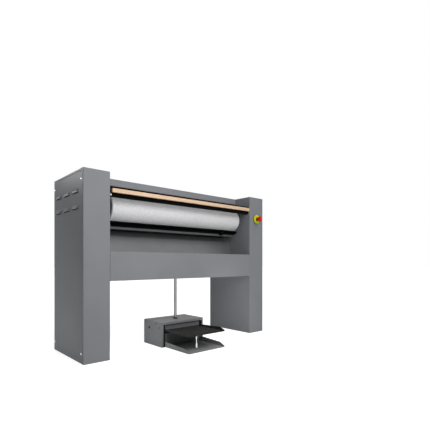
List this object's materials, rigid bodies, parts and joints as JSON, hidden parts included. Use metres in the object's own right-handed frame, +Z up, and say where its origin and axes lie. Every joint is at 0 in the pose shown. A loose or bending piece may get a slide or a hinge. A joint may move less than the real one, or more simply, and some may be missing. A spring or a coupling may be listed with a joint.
{
  "type": "chest ironer",
  "caption": "Wall-type chest ironer: padded roll above a heated chest between two sheet-metal towers, lifted by a floor treadle, with a linen trough.",
  "frame": {"origin": "on the floor, in the middle of the machine's overall width and depth with the treadle", "axes": "+X to the operator's right along the roll, -Y towards the operator, +Z up"},
  "size_m": [1.654, 0.6482, 1.1181],
  "materials": {
    "grey_powder_coat": "smooth grey powder coat with a slight metallic sheen",
    "galvanised_sheet": "galvanised sheet",
    "polished_stainless": "fine brushed stainless steel",
    "chrome": "bright chrome",
    "machined_steel": "machined steel",
    "black_metal": "satin black",
    "cast_iron_paint": "painted casting",
    "ironing_cloth": "white woven ironing cloth",
    "felt": "dense felt",
    "mineral_wool": "mineral wool",
    "beech": "smooth lacquered beech",
    "black_rubber": "matt ribbed rubber",
    "black_plastic": "gloss black",
    "yellow_plastic": "yellow moulded plastic with a grey rim",
    "red_plastic": "glossy red moulded plastic",
    "clear_lens": "clear lens"
  },
  "bodies": {
    "frame": {"left_tower_casing": "grey_powder_coat", "right_tower_casing": "grey_powder_coat", "left_side_cover": "grey_powder_coat", "right_side_cover": "grey_powder_coat", "left_rear_cover": "grey_powder_coat", "right_rear_cover": "grey_powder_coat", "left_base_plate": "machined_steel", "right_base_plate": "machined_steel", "left_upright": "galvanised_sheet", "right_upright": "galvanised_sheet", "upper_cross_beam": "machined_steel", "lower_cross_beam": "machined_steel", "top_cover": "grey_powder_coat", "rear_cover": "grey_powder_coat", "apron": "grey_powder_coat", "bottom_pan": "galvanised_sheet", "linen_chute": "polished_stainless", "left_bearing": "cast_iron_paint", "right_bearing": "cast_iron_paint", "gearbox": "cast_iron_paint", "motor": "cast_iron_paint", "motor_cowl": "black_plastic", "motor_bracket": "galvanised_sheet", "chest_pivot_shaft": "machined_steel", "guide_tube": "chrome", "pedal_housing": "grey_powder_coat", "pedal_floor_plate": "grey_powder_coat", "treadle_pin": "machined_steel", "treadle_spring": "machined_steel", "treadle_stop": "chrome", "estop_plate": "yellow_plastic", "control_panel": "black_plastic", "lamp_lens": "clear_lens", "control_box": "black_plastic", "cable_gland": "black_plastic"},
    "roll": {"roll_tube": "machined_steel", "roll_felt": "felt", "roll_cloth": "ironing_cloth", "left_roll_head": "machined_steel", "right_roll_head": "machined_steel"},
    "chest": {"chest_plate": "black_metal", "left_chest_arm": "black_metal", "right_chest_arm": "black_metal", "chest_heater": "machined_steel", "chest_insulation": "mineral_wool", "chest_cover": "galvanised_sheet", "probe_bracket": "black_metal"},
    "rocker": {"rocker": "machined_steel"},
    "left_link": {"left_push_link": "machined_steel"},
    "right_link": {"right_push_link": "machined_steel"},
    "pull_rod": {"pull_rod": "machined_steel"},
    "treadle": {"treadle": "black_metal", "treadle_mat": "black_rubber"},
    "guard": {"guard_profile": "black_metal", "guard_wood": "beech"},
    "estop": {"estop_button": "red_plastic"},
    "start_key": {"start_key": "black_plastic"},
    "set_key": {"set_key": "black_plastic"}
  },
  "joints": [
    {"name": "roll_spin", "type": "hinge", "parent": "frame", "child": "roll", "pos_m": [0, 0.01585, 0.922], "axis": [1, 0, 0], "continuous": true},
    {"name": "treadle_hinge", "type": "hinge", "parent": "frame", "child": "treadle", "pos_m": [0, 0.05785, 0.118], "axis": [1, 0, 0], "range_deg": [0, 4], "stiffness_Nm_per_rad": 20, "springref_deg": -5.73, "deforming": ["treadle_spring"]},
    {"name": "rocker_hinge", "type": "hinge", "parent": "frame", "child": "rocker", "pos_m": [0, 0.16585, 0.5], "axis": [1, 0, 0], "range_deg": [0, 1.35]},
    {"name": "pull_rod_slide", "type": "slide", "parent": "frame", "child": "pull_rod", "axis": [0, 0, -1], "range_m": [0, 0.00384]},
    {"name": "left_link_hinge", "type": "hinge", "parent": "rocker", "child": "left_link", "pos_m": [0, 0.21085, 0.5], "axis": [-1, 0, 0], "range_deg": [0, 0.904]},
    {"name": "right_link_hinge", "type": "hinge", "parent": "rocker", "child": "right_link", "pos_m": [0, 0.21085, 0.5], "axis": [-1, 0, 0], "range_deg": [0, 0.904]},
    {"name": "chest_hinge", "type": "hinge", "parent": "frame", "child": "chest", "pos_m": [0, 0.27085, 0.99], "axis": [-1, 0, 0], "range_deg": [0, 1.01]},
    {"name": "guard_hinge", "type": "hinge", "parent": "frame", "child": "guard", "pos_m": [0, -0.10815, 1.022], "axis": [1, 0, 0], "range_deg": [0, 8], "stiffness_Nm_per_rad": 6, "springref_deg": -6.88},
    {"name": "estop_slide", "type": "slide", "parent": "frame", "child": "estop", "axis": [0, 1, 0], "range_m": [0, 0.006]},
    {"name": "start_key_slide", "type": "slide", "parent": "frame", "child": "start_key", "axis": [0, 0, -1], "range_m": [0, 0.0005], "stiffness_N_per_m": 800, "springref_m": -0.0006},
    {"name": "set_key_slide", "type": "slide", "parent": "frame", "child": "set_key", "axis": [0, 0, -1], "range_m": [0, 0.0005], "stiffness_N_per_m": 800, "springref_m": -0.0006}
  ],
  "couplings": [
    {"joint": "rocker_hinge", "follows": "treadle_hinge", "ratio": 0.33742},
    {"joint": "pull_rod_slide", "follows": "treadle_hinge", "m_per_rad": 0.055},
    {"joint": "left_link_hinge", "follows": "treadle_hinge", "ratio": 0.22578},
    {"joint": "right_link_hinge", "follows": "treadle_hinge", "ratio": 0.22578},
    {"joint": "chest_hinge", "follows": "treadle_hinge", "ratio": 0.25307}
  ]
}
